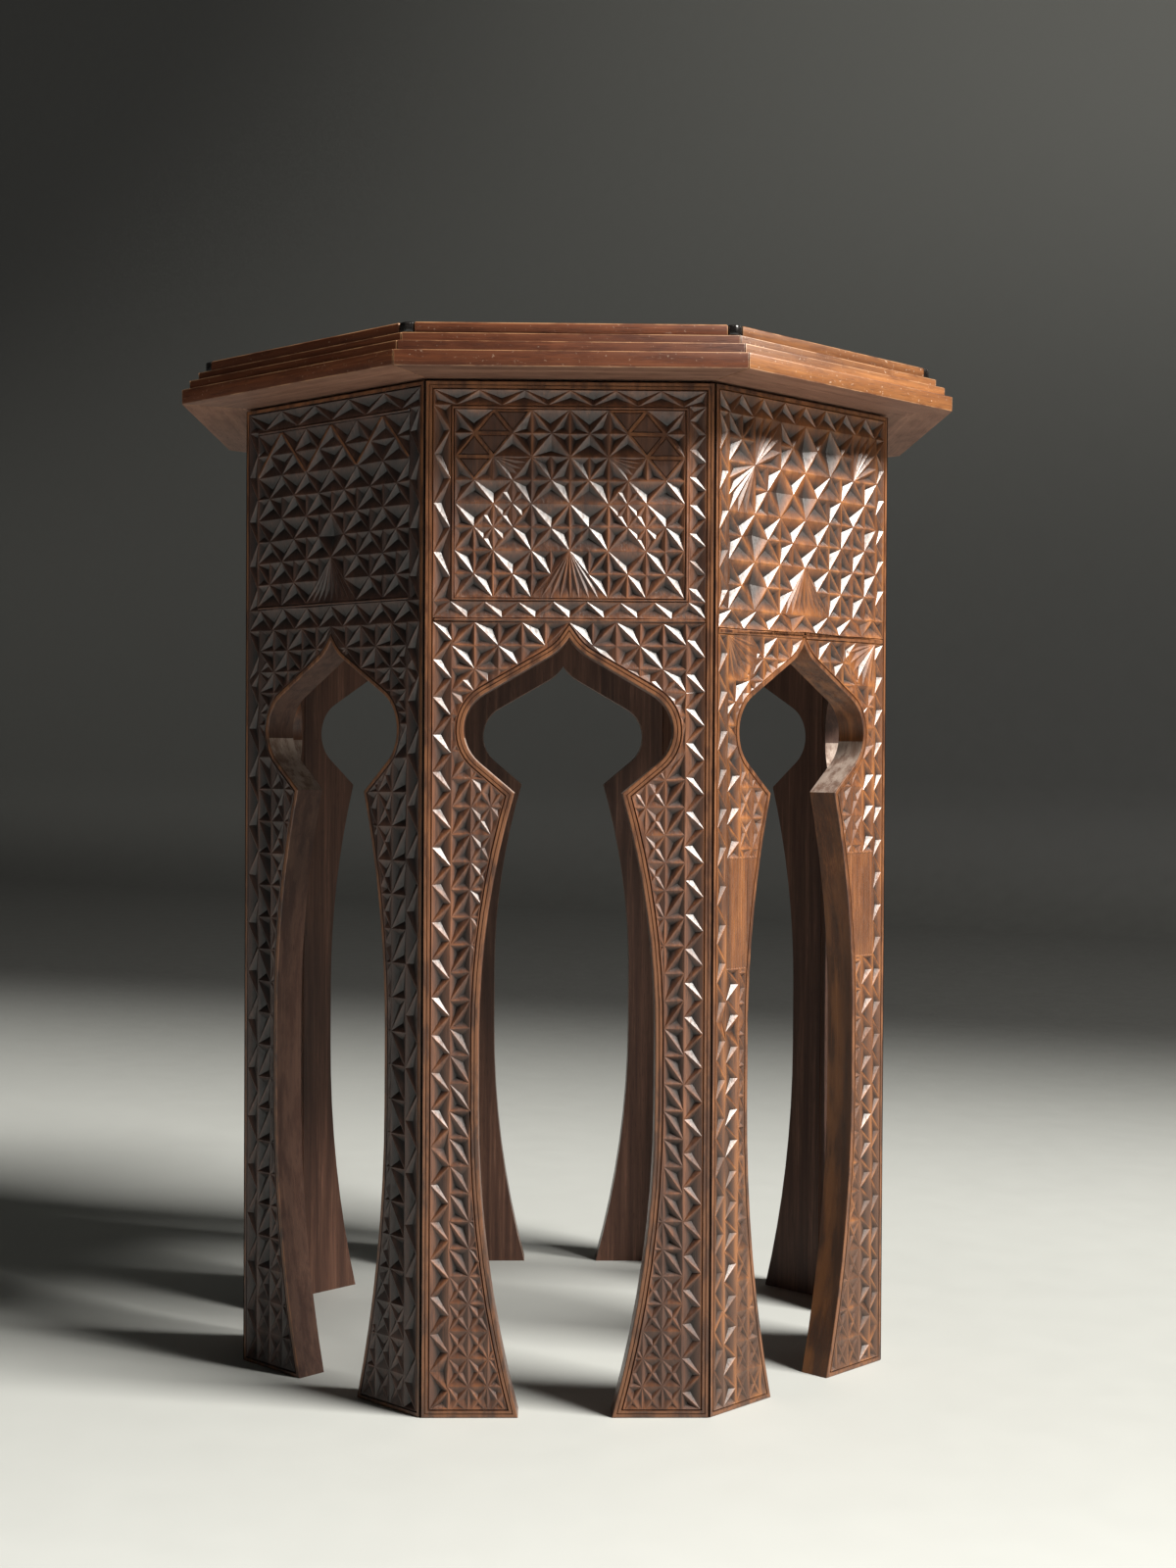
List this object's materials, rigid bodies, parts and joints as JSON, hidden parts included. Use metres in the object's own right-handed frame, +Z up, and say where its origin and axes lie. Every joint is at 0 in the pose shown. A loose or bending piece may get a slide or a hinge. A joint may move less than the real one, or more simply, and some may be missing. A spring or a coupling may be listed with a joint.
{
  "type": "carved side table",
  "caption": "Octagonal side table: chip-carved boards with ogee arches joined in mitres, and a stepped overhanging top with dark corner keys.",
  "frame": {"origin": "on the floor under the middle of the table", "axes": "+Z up through the middle of the top; the front board faces -Y"},
  "size_m": [0.445, 0.445, 0.5813],
  "materials": {
    "carved_board": "dark brown hardwood, chip carved, waxed and worn",
    "top_border": "red-brown hardwood, waxed, worn edges",
    "rim": "red-brown hardwood, waxed, worn edges",
    "corner_key": "near-black polished hardwood",
    "centre_panel": "red-brown hardwood, waxed",
    "glue_block": "plain sawn softwood",
    "cleat": "plain planed softwood",
    "screw": "dulled steel"
  },
  "bodies": {
    "root": {"side_board_1": "carved_board", "side_board_2": "carved_board", "side_board_3": "carved_board", "side_board_4": "carved_board", "side_board_5": "carved_board", "side_board_6": "carved_board", "side_board_7": "carved_board", "side_board_8": "carved_board", "top_border_1": "top_border", "top_border_2": "top_border", "top_border_3": "top_border", "top_border_4": "top_border", "top_border_5": "top_border", "top_border_6": "top_border", "top_border_7": "top_border", "top_border_8": "top_border", "top_centre_panel": "centre_panel", "rim_strip_1": "rim", "rim_strip_2": "rim", "rim_strip_3": "rim", "rim_strip_4": "rim", "rim_strip_5": "rim", "rim_strip_6": "rim", "rim_strip_7": "rim", "rim_strip_8": "rim", "corner_key_1": "corner_key", "corner_key_2": "corner_key", "corner_key_3": "corner_key", "corner_key_4": "corner_key", "corner_key_5": "corner_key", "corner_key_6": "corner_key", "corner_key_7": "corner_key", "corner_key_8": "corner_key", "glue_block_1": "glue_block", "glue_block_2": "glue_block", "glue_block_3": "glue_block", "glue_block_4": "glue_block", "glue_block_5": "glue_block", "glue_block_6": "glue_block", "glue_block_7": "glue_block", "glue_block_8": "glue_block", "cleat_1": "cleat", "cleat_3": "cleat", "cleat_5": "cleat", "cleat_7": "cleat", "top_screw_left_1": "screw", "top_screw_right_1": "screw", "board_screw_1": "screw", "top_screw_left_3": "screw", "top_screw_right_3": "screw", "board_screw_3": "screw", "top_screw_left_5": "screw", "top_screw_right_5": "screw", "board_screw_5": "screw", "top_screw_left_7": "screw", "top_screw_right_7": "screw", "board_screw_7": "screw"}
  },
  "joints": []
}
